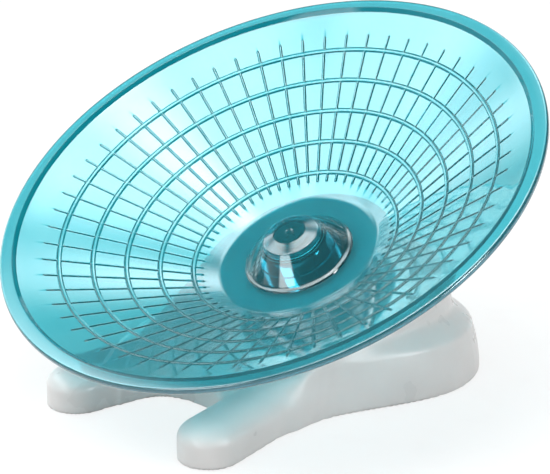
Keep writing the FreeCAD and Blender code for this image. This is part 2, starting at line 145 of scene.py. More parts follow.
def corner_arc(before: Corner, here: Corner, after: Corner, steps: int) -> list[tuple[float, float]]:
    """Rounds one corner of a section.

    Args:
        before: Corner that the section comes from.
        here: Corner to round.
        after: Corner that the section goes to.
        steps: Parts that the arc is divided into.

    Returns:
        Points (radius, height) along the arc, or the corner itself where it has no fillet.
    """
    spot = np.array([here.radius, here.height])
    if here.fillet == 0.0:
        return [(here.radius, here.height)]
    back = np.array([before.radius, before.height]) - spot
    ahead = np.array([after.radius, after.height]) - spot
    back /= np.linalg.norm(back)
    ahead /= np.linalg.norm(ahead)
    half_angle = math.acos(float(np.clip(back @ ahead, -1.0, 1.0))) / 2.0
    middle = (back + ahead) / np.linalg.norm(back + ahead)
    centre = spot + middle * here.fillet / math.sin(half_angle)
    reach = here.fillet / math.tan(half_angle)
    start = spot + back * reach - centre
    end = spot + ahead * reach - centre
    sweep = math.pi - 2.0 * half_angle
    points = []
    for step in range(steps + 1):
        share = step / steps
        mix = (start * math.sin((1.0 - share) * sweep) + end * math.sin(share * sweep)) / math.sin(sweep)
        points.append((float(centre[0] + mix[0]), float(centre[1] + mix[1])))
    return points


def add_mesh(name: str, points: np.ndarray, faces: list,
             sharp_angle: float = SHARP_ANGLE) -> Object:
    """Makes a smooth-shaded mesh object from points in millimetres.

    Args:
        name: Name of the object and its mesh.
        points: Rows of x, y and z in the shared frame.
        faces: Lists of point numbers.
        sharp_angle: Angle between faces, in degrees, from which an edge stays crisp.

    Returns:
        The object, linked to the scene.
    """
    mesh = bpy.data.meshes.new(name)
    mesh.from_pydata((points * MILLIMETRE).tolist(), [], faces)
    mesh.validate()
    mesh.shade_smooth()
    mesh.set_sharp_from_angle(angle=math.radians(sharp_angle))
    piece = bpy.data.objects.new(name, mesh)
    bpy.context.scene.collection.objects.link(piece)
    LOG.info("%s: %d points, %d faces", name, len(mesh.vertices), len(mesh.polygons))
    return piece


def grid_faces(rows: int, columns: int, rows_close: bool) -> list[tuple[int, int, int, int]]:
    """Lists the quads of a grid that closes round its columns.

    Args:
        rows: Number of rows of points.
        columns: Number of points in a row.
        rows_close: Whether the last row joins the first.

    Returns:
        Quads as point numbers.
    """
    row_count = rows if rows_close else rows - 1
    row, column = np.meshgrid(np.arange(row_count), np.arange(columns), indexing="ij")
    next_row = (row + 1) % rows
    next_column = (column + 1) % columns
    quads = np.stack([row * columns + column, next_row * columns + column,
                      next_row * columns + next_column, row * columns + next_column], axis=-1)
    return [tuple(quad) for quad in quads.reshape(-1, 4).tolist()]


class NodeSheet:
    """Short way to build the nodes of a material, a lamp or the world."""

    def __init__(self, owner: ID, output_kind: str = "ShaderNodeOutputMaterial") -> None:
        """Starts an empty node tree with an output.

        Args:
            owner: Material, lamp or world that gets the nodes.
            output_kind: Blender's name of the owner's output node.
        """
        owner.use_nodes = True
        self.owner = owner
        self.tree = owner.node_tree
        self.tree.nodes.clear()
        self.output = self.tree.nodes.new(output_kind)

    def node(self, kind: str, **inputs: object) -> Node:
        """Adds a node and sets its sockets.

        Args:
            kind: Blender's name of the node type.
            inputs: Socket names, with underscores for spaces, and their values.

        Returns:
            The new node.
        """
        made = self.tree.nodes.new(kind)
        for socket, value in inputs.items():
            made.inputs[socket.replace("_", " ")].default_value = value
        return made

    def link(self, source: NodeSocket, target: NodeSocket) -> None:
        """Joins two sockets."""
        self.tree.links.new(source, target)

    def show(self, shader: NodeSocket) -> None:
        """Joins a shader to the output."""
        self.link(shader, self.output.inputs["Surface"])

    def calculate(self, operation: str, first: NodeSocket, second: NodeSocket | float) -> NodeSocket:
        """Works out a value from two others.

        Args:
            operation: Blender's name of the operation.
            first: Value to start from.
            second: The other value, or a plain number.

        Returns:
            The result.
        """
        made = self.node("ShaderNodeMath")
        made.operation = operation
        self.link(first, made.inputs[0])
        if isinstance(second, NodeSocket):
            self.link(second, made.inputs[1])
        else:
            made.inputs[1].default_value = second
        return made.outputs["Value"]

    def noise(self, scale: float, detail: float, roughness: float = 0.5) -> NodeSocket:
        """Adds noise in the object's own coordinates.

        Args:
            scale: Blotches per metre, roughly.
            detail: Octaves of finer noise.
            roughness: Strength of the finer octaves.

        Returns:
            The noise value.
        """
        place = self.node("ShaderNodeTexCoord")
        noise = self.node("ShaderNodeTexNoise", Scale=scale, Detail=detail, Roughness=roughness)
        self.link(place.outputs["Object"], noise.inputs["Vector"])
        return noise.outputs["Fac"]

    def ramp(self, value: NodeSocket, low: Colour, high: Colour) -> NodeSocket:
        """Turns a noise value into a colour between two colours.

        Args:
            value: Value to read.
            low: Colour at the noise's low end.
            high: Colour at its high end.

        Returns:
            The colour.
        """
        ramp = self.node("ShaderNodeValToRGB")
        ends = ((NOISE_LOW, low), (NOISE_HIGH, high))
        for element, (position, colour) in zip(ramp.color_ramp.elements, ends):
            element.position = position
            element.color = (*colour, 1.0)
        self.link(value, ramp.inputs["Fac"])
        return ramp.outputs["Color"]

    def spread(self, value: NodeSocket, low: float, high: float, start: float = NOISE_LOW,
               end: float = NOISE_HIGH, eased: bool = False) -> NodeSocket:
        """Maps a value to a range of numbers.

        Args:
            value: Value to read.
            low: Number at the start.
            high: Number at the end.
            start: Value that gives the low number.
            end: Value that gives the high number.
            eased: Whether the way between them is level at both ends.

        Returns:
            The number.
        """
        spread = self.node("ShaderNodeMapRange", From_Min=start, From_Max=end, To_Min=low, To_Max=high)
        spread.interpolation_type = "SMOOTHSTEP" if eased else "LINEAR"
        self.link(value, spread.inputs["Value"])
        return spread.outputs["Result"]

    def bump(self, height: NodeSocket, strength: float, depth: float) -> NodeSocket:
        """Adds fine relief.

        Args:
            height: Height value.
            strength: Share of the relief that shows.
            depth: Height of the relief in metres.

        Returns:
            The changed normal.
        """
        bump = self.node("ShaderNodeBump", Strength=strength, Distance=depth)
        self.link(height, bump.inputs["Height"])
        return bump.outputs["Normal"]

    def skin(self, shader: Node, pattern: NodeSocket, colours: tuple[Colour, Colour],
             gloss: tuple[float, float], normal: NodeSocket) -> Material:
        """Gives a shader its uneven colour, polish and relief, and shows it.

        Args:
            shader: Shader of the surface.
            pattern: Noise that colour and polish follow.
            colours: Colours at the noise's low and high end.
            gloss: Roughness at the noise's low and high end.
            normal: Normal with the relief.

        Returns:
            The finished material.
        """
        self.link(self.ramp(pattern, *colours), shader.inputs["Base Color"])
        self.link(self.spread(pattern, *gloss), shader.inputs["Roughness"])
        self.link(normal, shader.inputs["Normal"])
        self.show(shader.outputs["BSDF"])
        return self.owner


@dataclass(frozen=True)
class ClearPlastic:
    """Transparent moulded plastic that is coloured right through."""

    name: str
    tint_low: Colour
    tint_high: Colour
    absorbed: Colour = (0.60, 0.38, 0.57)
    density: float = 100.0
    clearness: float = 0.9
    ior: float = 1.53
    gloss_low: float = 0.015
    gloss_high: float = 0.05
    coat: float = 1.0
    coat_gloss: float = 0.03
    shine: float = 0.5
    flow_scale: float = 55.0
    flow_detail: float = 2.0
    flow_strength: float = 0.3
    flow_depth: float = 0.00004

    def make(self) -> Material:
        """Returns the material with faint flow marks and uneven polish."""
        sheet = NodeSheet(bpy.data.materials.new(self.name))
        shader = sheet.node("ShaderNodeBsdfPrincipled", IOR=self.ior, Transmission_Weight=self.clearness,
                            Coat_Weight=self.coat, Coat_Roughness=self.coat_gloss,
                            Specular_IOR_Level=self.shine)
        depth = sheet.node("ShaderNodeVolumeAbsorption", Color=(*self.absorbed, 1.0),
                           Density=self.density)
        sheet.link(depth.outputs["Volume"], sheet.output.inputs["Volume"])
        flow = sheet.noise(self.flow_scale, self.flow_detail)
        relief = sheet.bump(flow, self.flow_strength, self.flow_depth)
        return sheet.skin(shader, flow, (self.tint_low, self.tint_high),
                          (self.gloss_low, self.gloss_high), relief)


@dataclass(frozen=True)
class MilkyPlastic:
    """Cloudy white plastic that lets a little light into its skin."""

    name: str
    thin: Colour
    thick: Colour
    gloss_low: float = 0.24
    gloss_high: float = 0.38
    ior: float = 1.5
    glow: float = 0.25
    glow_reach: float = 0.004
    glow_balance: Colour = (1.0, 1.0, 1.0)
    cloud_scale: float = 38.0
    cloud_detail: float = 4.0
    grain_scale: float = 1400.0
    grain_detail: float = 2.0
    grain_strength: float = 0.12
    grain_depth: float = 0.00006

    def make(self) -> Material:
        """Returns the material with cloudy colour and a fine moulded skin."""
        sheet = NodeSheet(bpy.data.materials.new(self.name))
        shader = sheet.node("ShaderNodeBsdfPrincipled", IOR=self.ior, Subsurface_Weight=self.glow,
                            Subsurface_Radius=self.glow_balance, Subsurface_Scale=self.glow_reach)
        cloud = sheet.noise(self.cloud_scale, self.cloud_detail)
        grain = sheet.noise(self.grain_scale, self.grain_detail)
        return sheet.skin(shader, cloud, (self.thin, self.thick), (self.gloss_low, self.gloss_high),
                          sheet.bump(grain, self.grain_strength, self.grain_depth))


@dataclass(frozen=True)
class GrainedFinish:
    """Opaque finish with a fine grain, as on nylon or rubber."""

    name: str
    dark: Colour
    bright: Colour
    gloss_low: float
    gloss_high: float
    ior: float = 1.5
    metallic: float = 0.0
    grain_scale: float = 1800.0
    grain_detail: float = 3.0
    grain_roughness: float = 0.6
    grain_strength: float = 0.3
    grain_depth: float = 0.0001

    def make(self) -> Material:
        """Returns the material with grain in colour, polish and relief."""
        sheet = NodeSheet(bpy.data.materials.new(self.name))
        shader = sheet.node("ShaderNodeBsdfPrincipled", IOR=self.ior, Metallic=self.metallic)
        grain = sheet.noise(self.grain_scale, self.grain_detail, self.grain_roughness)
        return sheet.skin(shader, grain, (self.dark, self.bright), (self.gloss_low, self.gloss_high),
                          sheet.bump(grain, self.grain_strength, self.grain_depth))


@dataclass(frozen=True)
class Metal(GrainedFinish):
    """Plated or polished steel, with fine tool marks as its grain."""

    metallic: float = 1.0
    grain_scale: float = 900.0
    grain_detail: float = 4.0
    grain_strength: float = 0.1
    grain_depth: float = 0.00003


TURQUOISE = ClearPlastic("clear_turquoise", tint_low=(0.08, 0.69, 0.775), tint_high=(0.11, 0.73, 0.805))
# Painted shade: darker, less glossy copy of the clear plastic for the lip's step, where one looks along
# the plastic
STEP_PAINTED_SHADE = ClearPlastic("step_painted_shade", tint_low=(0.0, 0.28, 0.35), tint_high=(0.01, 0.33, 0.40),
                              clearness=0.5, coat=0.0, shine=0.1)
# Painted shade: darker, less glossy copy of the clear plastic for the steep flanks of the rings and ribs
FLANK_PAINTED_SHADE = ClearPlastic("flank_painted_shade", tint_low=(0.03, 0.55, 0.62),
                               tint_high=(0.05, 0.60, 0.67), clearness=0.85, coat=0.0, shine=0.2)
# Painted shade: the cap's plastic is tinted deeper than the dish's, so the hub reads dark and hides the
# steel inside
CAP_PAINTED_SHADE = ClearPlastic("cap_painted_shade", tint_low=(0.02, 0.46, 0.53), tint_high=(0.03, 0.52, 0.58))
MILK = MilkyPlastic("milky_white", thin=(0.715, 0.70, 0.69), thick=(0.785, 0.77, 0.76))
PLATED_STEEL = Metal("plated_steel", dark=(0.50, 0.51, 0.53), bright=(0.60, 0.61, 0.63),
                     gloss_low=0.38, gloss_high=0.5)
BRIGHT_ZINC = Metal("bright_zinc", dark=(0.45, 0.46, 0.47), bright=(0.55, 0.56, 0.57),
                    gloss_low=0.6, gloss_high=0.75)
BALL_STEEL = Metal("ball_steel", dark=(0.70, 0.71, 0.73), bright=(0.80, 0.81, 0.82),
                   gloss_low=0.05, gloss_high=0.10)
CAGE_NYLON = GrainedFinish("cage_nylon", dark=(0.70, 0.67, 0.60), bright=(0.82, 0.80, 0.74),
                           gloss_low=0.4, gloss_high=0.55)
PAD_RUBBER = GrainedFinish("pad_rubber", dark=(0.50, 0.52, 0.51), bright=(0.62, 0.64, 0.63),
                           gloss_low=0.6, gloss_high=0.8)


@dataclass
class RunningDish:
    """Clear running dish with raised rings, radial ribs, a stepped lip and the bearing's housing."""

    axis: DishAxis
    rim_radius: float = 100.0
    wall: float = 1.9
    floor_radius: float = 29.0
    floor_depth: float = 35.3
    floor_fillet: float = 7.0
    cone_angle: float = 28.63
    step_radius: float = 93.8
    step_run: float = 1.2
    step_top: float = 1.5
    step_foot_fillet: float = 0.275
    step_top_fillet: float = 0.55
    edge_top: float = 1.2
    edge_bottom: float = -1.4
    edge_round: float = 1.1
    ring_count: int = 5
    ring_outer_radius: float = 80.5
    ring_spacing: float = 10.6
    ring_width: float = 1.8
    ring_height: float = 0.45
    ring_edge: float = 0.45
    ring_edge_rows: int = 4
    rib_count: int = 60
    rib_inner_radius: float = 34.7
    rib_outer_radius: float = 86.0
    rib_width: float = 1.1
    rib_height: float = 0.38
    rib_edge: float = 0.42
    rib_end: float = 0.7
    rib_end_rows: int = 5
    rib_first_angle: float = 1.65
    # Share of the rib height that a face must climb to get the flank's painted shade
    painted_shade_share: float = 0.3
    housing_ledge_radius: float = 9.22
    housing_bore_radius: float = 11.02
    housing_outer_radius: float = 12.3
    housing_top: float = -29.0
    housing_seat: float = -35.7
    housing_top_fillet: float = 0.475
    housing_foot_fillet: float = wall / 3.0
    row_gap: float = 2.6
    row_digits: int = 4
    gap_columns: int = 3
    arc_steps: int = 8

    def slope(self) -> float:
        """Returns the running surface's angle in radians."""
        return math.radians(self.cone_angle)

    def surface_height(self, radius: float) -> float:
        """Returns the height of the running surface at a radius."""
        return (radius - self.floor_radius) * math.tan(self.slope()) - self.floor_depth

    def corners(self) -> list[Corner]:
        """Returns the closed section without its grip pattern, from the ledge out and back below."""
        floor_top = -self.floor_depth
        floor_under = floor_top - self.wall
        under_step = self.step_radius + self.step_run
        under_cone = self.surface_height(under_step) - self.wall / math.cos(self.slope())
        under_floor = self.floor_radius + self.wall * math.tan(self.slope() / 2.0)
        return [Corner(self.housing_ledge_radius, floor_under),
                Corner(self.housing_ledge_radius, self.housing_seat),
                Corner(self.housing_bore_radius, self.housing_seat),
                Corner(self.housing_bore_radius, self.housing_top),
                Corner(self.housing_outer_radius, self.housing_top, self.housing_top_fillet),
                Corner(self.housing_outer_radius, floor_top, self.housing_foot_fillet),
                Corner(self.floor_radius, floor_top, self.floor_fillet),
                Corner(self.step_radius, self.surface_height(self.step_radius), self.step_foot_fillet),
                Corner(under_step, self.step_top, self.step_top_fillet),
                Corner(self.rim_radius, self.edge_top, self.edge_round),
                Corner(self.rim_radius, self.edge_bottom, self.edge_round),
                Corner(under_step, under_cone, self.edge_round),
                Corner(under_floor, floor_under, self.floor_fillet + self.wall)]

    def ring_radii(self) -> np.ndarray:
        """Returns the radii of the raised rings."""
        return self.ring_outer_radius - self.ring_spacing * np.arange(self.ring_count)

    def cone_rows(self, start: float, end: float) -> np.ndarray:
        """Places rows of points up the running surface, close together on rings and rib ends.

        Args:
            start: Radius where the straight cone starts.
            end: Radius where it ends.

        Returns:
            Radii in rising order, with the ends left out.
        """
        half = self.ring_width / 2.0
        edge = self.ring_edge
        flank = np.linspace(half, half - edge, self.ring_edge_rows)
        side = np.concatenate([[half + edge / 2.0], flank])
        across = np.concatenate([-side, [0.0], side[::-1]]) * math.cos(self.slope())
        ends = np.linspace(0.0, self.rib_end, self.rib_end_rows)
        wanted = [ring + across for ring in self.ring_radii()]
        wanted += [self.rib_inner_radius + ends, self.rib_outer_radius - ends]
        rows = np.unique(np.concatenate(wanted).round(self.row_digits))
        filled = [start]
        for radius in [*rows.tolist(), end]:
            parts = max(1, math.ceil((radius - filled[-1]) / self.row_gap))
            filled += np.linspace(filled[-1], radius, parts + 1)[1:].tolist()
        return np.array(filled[1:-1])

    def grip_height(self, radius: np.ndarray, offset: np.ndarray) -> np.ndarray:
        """Gives the height of the grip pattern above the running surface.

        Args:
            radius: Radii of the rows, as a column.
            offset: Distances from the nearest rib's middle, as a grid.

        Returns:
            Heights for each point of the grid.
        """
        away = np.abs(radius - self.ring_radii()[None, :]).min(axis=1, keepdims=True)
        away = away / math.cos(self.slope())
        ring = self.ring_height * smooth_step((self.ring_width / 2.0 - away) / self.ring_edge)
        along = smooth_step((radius - self.rib_inner_radius) / self.rib_end)
        along = along * smooth_step((self.rib_outer_radius - radius) / self.rib_end)
        across = smooth_step((self.rib_width / 2.0 - np.abs(offset)) / self.rib_edge)
        return np.maximum(ring, self.rib_height * along * across)

    def columns(self, radius: np.ndarray) -> tuple[np.ndarray, np.ndarray]:
        """Places the points of each row, close together on the ribs.

        Args:
            radius: Radii of the rows, as a column.

        Returns:
            Angles in radians, and distances from the nearest rib's middle, as grids.
        """
        half = self.rib_width / 2.0
        edge = self.rib_edge
        side = np.array([half + edge / 2.0, half, half - edge / 2.0, half - edge])
        on_rib = np.concatenate([-side, [0.0], side[::-1]])
        spacing = 2.0 * math.pi / self.rib_count
        scale = np.maximum(radius, self.floor_radius)
        reach = side[0] / scale
        shares = np.arange(1, self.gap_columns + 1) / (self.gap_columns + 1)
        gap = reach + shares[None, :] * (spacing - 2.0 * reach)
        one_rib = np.concatenate([on_rib[None, :] / scale, gap], axis=1)
        offset = np.concatenate([np.broadcast_to(on_rib, (len(radius), len(on_rib))),
                                 np.full(gap.shape, half + edge)], axis=1)
        first = math.radians(self.rib_first_angle)
        turns = first + spacing * np.arange(self.rib_count)
        angles = (turns[None, :, None] + one_rib[:, None, :]).reshape(len(radius), -1)
        return angles, np.tile(offset, (1, self.rib_count))

    def build(self) -> Object:
        """Returns the dish as one closed mesh."""
        corners = self.corners()
        cone_start = next(i for i, corner in enumerate(corners) if corner.radius == self.floor_radius)
        rows: list[tuple[float, float]] = []
        on_cone: list[bool] = []
        for index, corner in enumerate(corners):
            after = corners[(index + 1) % len(corners)]
            arc = corner_arc(corners[index - 1], corner, after, self.arc_steps)
            rows += arc
            on_cone += [False] * len(arc)
            if index == cone_start:
                next_arc = corner_arc(corner, after, corners[index + 2], self.arc_steps)
                radii = self.cone_rows(arc[-1][0], next_arc[0][0])
                rows += [(radius, self.surface_height(radius)) for radius in radii.tolist()]
                on_cone += [True] * len(radii)
        section = np.array(rows)
        radius = section[:, :1]
        angles, offset = self.columns(radius)
        grip = self.grip_height(radius, offset) * np.array(on_cone)[:, None]
        reach = radius - grip * math.sin(self.slope())
        height = section[:, 1:] + grip * math.cos(self.slope())
        points = np.stack([reach * np.cos(angles), reach * np.sin(angles), height], axis=-1)
        faces = grid_faces(len(section), angles.shape[1], rows_close=True)
        dish = add_mesh("clear_running_dish", self.axis.to_world(points.reshape(-1, 3)), faces)
        dish.data.polygons.foreach_set("material_index", self.painted_shade_faces(section, grip).ravel())
        return dish

    def painted_shade_faces(self, section: np.ndarray, grip: np.ndarray) -> np.ndarray:
        """Finds the faces with painted shade: a darker plastic where one looks along it instead of
        through it.

        Args:
            section: Radius and height of each row.
            grip: Height of the grip pattern at each point.

        Returns:
            The place in the list of materials for each face.
        """
        turned = np.roll(grip, -1, axis=1)
        face = np.stack([grip, turned, np.roll(grip, -1, axis=0), np.roll(turned, -1, axis=0)])
        flank = np.ptp(face, axis=0) > self.rib_height * self.painted_shade_share
        middle = (section + np.roll(section, -1, axis=0)) / 2.0
        past_foot = middle[:, 0] > self.step_radius
        before_top = middle[:, 0] < self.step_radius + self.step_run
        step = past_foot & before_top & (middle[:, 1] > self.edge_bottom / 2.0)
        # Painted shade: steep faces of the grip and the lip's step get the darker plastics
        kind = np.where(flank, DishFace.FLANK.value, DishFace.CLEAR.value)
        return np.where(step[:, None], DishFace.STEP.value, kind).astype(np.int32)

    def dress(self, piece: Object, plastics: list[Material]) -> None:
        """Gives the dish its plastic and lets it stand for the solid.

        Args:
            piece: The dish's mesh object.
            plastics: The clear plastic, and its darker copies with painted shade on the grip's flanks
                and on the lip's step, in the order of DishFace.
        """
        for plastic in plastics:
            piece.data.materials.append(plastic)
        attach(piece, Body.DISH.value)
        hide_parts("running_dish")


@dataclass
class HubCap:
    """Clear bell-shaped cap over the bearing."""

    axis: DishAxis
    floor_height: float = -35.3
    lift: float = 0.04
    foot_radius: float = 20.2
    brim_radius: float = 19.8
    brim_height: float = 0.6
    flare_radius: float = 18.7
    flare_height: float = 1.0
    shoulder_radius: float = 10.3
    shoulder_height: float = 9.55
    top_height: float = 11.0
    top_radius: float = 5.9
    dimple_radius: float = 1.6
    dimple_depth: float = 0.5
    wall: float = 1.6
    shoulder_fillet: float = 2.4
    flare_fillet: float = 3.2
    brim_fillet: float = 0.4
    keeper_fillet: float = 0.8
    grip_radius: float = 12.32
    grip_top: float = 6.32
    keeper_outer_radius: float = 10.98
    keeper_inner_radius: float = 9.88
    keeper_foot: float = 6.62
    keeper_top: float = 7.0
    columns: int = 144
    arc_steps: int = 8

    def corners(self) -> list[Corner]:
        """Returns the section from the top's middle over the outside and back along the inside."""
        return [Corner(self.dimple_radius, self.top_height, self.dimple_depth),
                Corner(self.top_radius, self.top_height, self.wall),
                Corner(self.shoulder_radius, self.shoulder_height, self.shoulder_fillet),
                Corner(self.flare_radius, self.flare_height, self.flare_fillet),
                Corner(self.brim_radius, self.brim_height, self.brim_fillet),
                Corner(self.foot_radius, self.lift),
                Corner(self.grip_radius, self.lift),
                Corner(self.grip_radius, self.grip_top),
                Corner(self.keeper_outer_radius, self.grip_top),
                Corner(self.keeper_outer_radius, self.keeper_foot),
                Corner(self.keeper_inner_radius, self.keeper_foot),
                Corner(self.keeper_inner_radius, self.keeper_top, self.keeper_fillet),
                Corner(self.top_radius, self.top_height - self.wall, self.wall)]

    def build(self) -> Object:
        """Returns the cap as one closed mesh."""
        start = Corner(0.0, self.top_height - self.dimple_depth)
        end = Corner(0.0, self.top_height - self.wall)
        line = [start, *self.corners(), end]
        rows: list[tuple[float, float]] = []
        for index in range(1, len(line) - 1):
            rows += corner_arc(line[index - 1], line[index], line[index + 1], self.arc_steps)
        section = np.array(rows)
        angles = np.linspace(0.0, 2.0 * math.pi, self.columns, endpoint=False)
        radius = section[:, :1]
        ring_points = np.stack([radius * np.cos(angles), radius * np.sin(angles),
                                np.broadcast_to(section[:, 1:], (len(section), self.columns))], axis=-1)
        poles = np.array([[0.0, 0.0, start.height], [0.0, 0.0, end.height]])
        points = np.concatenate([ring_points.reshape(-1, 3), poles])
        points[:, 2] += self.floor_height
        faces: list = grid_faces(len(section), self.columns, rows_close=False)
        top_pole = len(section) * self.columns
        last_row = (len(section) - 1) * self.columns
        for column in range(self.columns):
            following = (column + 1) % self.columns
            faces.append((top_pole, column, following))
            faces.append((top_pole + 1, last_row + following, last_row + column))
        return add_mesh("clear_hub_cap", self.axis.to_world(points), faces)

    def dress(self, piece: Object, plastic: Material) -> None:
        """Gives the cap its plastic and lets it stand for the solid.

        Args:
            piece: The cap's mesh object.
            plastic: The clear plastic, tinted deeper than the dish's as painted shade over the hub.
        """
        piece.data.materials.append(plastic)
        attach(piece, Body.DISH.value)
        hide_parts("hub_cap")


@dataclass
class Stand:
    """Hollow stand: broad rear body with a waist, round head, two legs and the web between them."""

    axis: DishAxis
    wall: float = 2.4
    underside: float = 0.3
    half_width: float = 57.2
    rear: float = 75.0
    rear_corner: float = 38.9
    waist: float = 38.5
    waist_y: float = -28.0
    front: float = -33.1
    front_corner: float = 8.0
    plinth_height: float = 16.5
    plinth_lean_in: float = 2.9
    shoulder_height: float = 24.5
    shoulder_inset: float = 10.5
    neck_height: float = 39.0
    neck_inset: float = 12.0
    waist_lean_in: float = 2.0
    front_lean_back: float = 14.0
    deck_height: float = -40.2
    head_radius: float = 36.0
    head_height: float = -38.6
    leg_half_width: float = 10.8
    leg_tip_x: float = 32.3
    leg_tip_y: float = -61.8
    leg_toe_out: float = 9.0
    leg_length: float = 46.0
    leg_wall_height: float = 7.5
    leg_height: float = 14.4
    crotch_radius: float = 20.0
    web_height: float = 9.0
    socket_radius: float = 9.0
    socket_bottom: float = -57.2
    bore_radius: float = 4.0
    gusset_thickness: float = 2.0
    gusset_height: float = 12.0
    pad_radius: float = 4.7
    pad_depth: float = 1.8
    post_radius: float = 6.3
    rear_pad_x: float = 33.0
    rear_pad_y: float = 46.0
    edge_round: float = 3.0
    neck_round: float = 5.0
    leg_blend: float = 7.0
    head_blend: float = 5.0
    inside_blend: float = 1.2
    crotch_round: float = 1.0
    underside_round: float = 0.6
    lean_reach: float = 0.25
    grid_top: float = 62.0
    cell: float = 0.9
    outline_steps: int = 12
    chunk: int = 20000
    settle_rounds: int = 2
    settle_reach: float = 0.05
    least_slope: float = 0.2
    sharp_angle: float = 70.0

    def side_inset(self, height: np.ndarray) -> np.ndarray:
        """Gives how far the body's side has drawn in at a height.

        Args:
            height: Heights over the floor.

        Returns:
            Insets from the outline on the floor.
        """
        plinth = self.plinth_lean_in * np.clip(height / self.plinth_height, 0.0, 1.0) ** 2
        rise = (height - self.plinth_height) / (self.shoulder_height - self.plinth_height)
        shoulder = (self.shoulder_inset - self.plinth_lean_in) * smooth_step(rise)
        climb = (height - self.shoulder_height) / (self.neck_height - self.shoulder_height)
        neck = (self.neck_inset - self.shoulder_inset) * np.clip(climb, 0.0, 1.0)
        return plinth + shoulder + neck

    def outline(self, height: np.ndarray) -> tuple[np.ndarray, np.ndarray]:
        """Gives half of the body's outline at each height, from the middle of the front to the rear.

        Args:
            height: Heights over the floor, one for each point that is measured.

        Returns:
            Grids of x and y, with one row for each height.
        """
        share = np.clip(height / self.neck_height, 0.0, 1.0)[:, None]
        inset = self.side_inset(height)[:, None]
        half_width = self.half_width - inset
        waist = self.waist - share * self.waist_lean_in
        corner = self.rear_corner - inset
        rear = self.rear - inset
        front = self.front + share * self.front_lean_back
        corner_y = front + self.front_corner
        waist_y = np.maximum(self.waist_y, corner_y)
        rear_corner_y = rear - corner
        steps = np.arange(self.outline_steps)[None, :] / self.outline_steps
        quarter = steps * math.pi / 2.0
        flat = np.ones_like(steps)
        end = half_width - corner
        xs = [steps * (waist - self.front_corner),
              waist - self.front_corner * (1.0 - np.sin(quarter)),
              waist + (half_width - waist) * smooth_step(steps),
              half_width - corner * (1.0 - np.cos(quarter)),
              end * np.array([[1.0, 0.0]])]
        ys = [front * flat,
              corner_y - self.front_corner * np.cos(quarter),
              waist_y + (rear_corner_y - waist_y) * steps,
              rear_corner_y + corner * np.sin(quarter),
              rear * np.ones((1, 2))]
        return np.concatenate(xs, axis=1), np.concatenate(ys, axis=1)

    def outline_distance(self, points: np.ndarray) -> np.ndarray:
        """Measures level distances from points to the body's outline at their height.

        Args:
            points: Rows of x, y and z.

        Returns:
            Distances, negative inside.
        """
        edge_x, edge_y = self.outline(points[:, 2])
        x = np.abs(points[:, :1])
        y = points[:, 1:2]
        ax, ay = edge_x[:, :-1], edge_y[:, :-1]
        bx, by = edge_x[:, 1:], edge_y[:, 1:]
        run_x, run_y = bx - ax, by - ay
        length = np.maximum(run_x * run_x + run_y * run_y, NEAR_ZERO)
        share = np.clip(((x - ax) * run_x + (y - ay) * run_y) / length, 0.0, 1.0)
        away = np.hypot(x - ax - share * run_x, y - ay - share * run_y).min(axis=1)
        crosses = (ay > y) != (by > y)
        meets = ax + (y - ay) * run_x / np.where(run_y == 0.0, NEAR_ZERO, run_y)
        inside = (crosses & (x < meets)).sum(axis=1) % 2 == 1
        return np.where(inside, -away, away)

    def body(self, points: np.ndarray) -> np.ndarray:
        """Measures distances to the plinth, shoulder and neck under the slanted deck.

        Args:
            points: Rows of x, y and z.

        Returns:
            Distances, negative inside.
        """
        height = points[:, 2]
        reach = self.lean_reach
        lean = (self.side_inset(height + reach) - self.side_inset(height - reach)) / (2.0 * reach)
        side = self.outline_distance(points) / np.sqrt(1.0 + lean * lean)
        deck = self.axis.to_dish(points)[:, 2] - self.deck_height
        topped = smooth_max(side, height - self.neck_height, self.neck_round)
        return smooth_max(topped, deck, self.edge_round)

    def head(self, points: np.ndarray, radius: float, top: float, bottom: float) -> np.ndarray:
        """Measures distances to a round post along the dish's axis.

        Args:
            points: Rows of x, y and z.
            radius: Radius of the post.
            top: Upper end along the axis.
            bottom: Lower end along the axis.

        Returns:
            Distances, negative inside.
        """
        local = self.axis.to_dish(points)
        around = np.hypot(local[:, 0], local[:, 1]) - radius
        ends = np.maximum(local[:, 2] - top, bottom - local[:, 2])
        return smooth_max(around, ends, self.edge_round / 2.0)

    def legs(self, points: np.ndarray) -> np.ndarray:
        """Measures distances to the nearer of the two domed legs.

        Args:
            points: Rows of x, y and z.

        Returns:
            Distances, negative inside.
        """
        turn = math.radians(self.leg_toe_out)
        x = np.abs(points[:, 0]) - self.leg_tip_x
        y = points[:, 1] - self.leg_tip_y
        along = np.clip(y * math.cos(turn) - x * math.sin(turn), 0.0, self.leg_length)
        beside = np.hypot(x + along * math.sin(turn), y - along * math.cos(turn))
        rise = np.maximum(points[:, 2] - self.leg_wall_height, 0.0)
        crown = self.leg_height - self.leg_wall_height
        wide = np.hypot(beside / self.leg_half_width, rise / crown)
        steep = np.hypot(beside / self.leg_half_width ** 2, rise / crown ** 2)
        return wide * (wide - 1.0) / np.maximum(steep, NEAR_ZERO)

    def web(self, points: np.ndarray) -> np.ndarray:
        """Measures distances to the low web that joins the legs round the crotch.

        Args:
            points: Rows of x, y and z.

        Returns:
            Distances, negative inside.
        """
        crotch_y = self.front - self.crotch_radius
        hole = self.crotch_radius - np.hypot(points[:, 0], points[:, 1] - crotch_y)
        across = np.abs(points[:, 0]) - self.leg_tip_x
        along = np.abs(points[:, 1] - self.front) - self.crotch_radius
        plate = smooth_max(np.maximum(across, along), hole, self.crotch_round)
        return smooth_max(plate, points[:, 2] - self.web_height, self.edge_round)

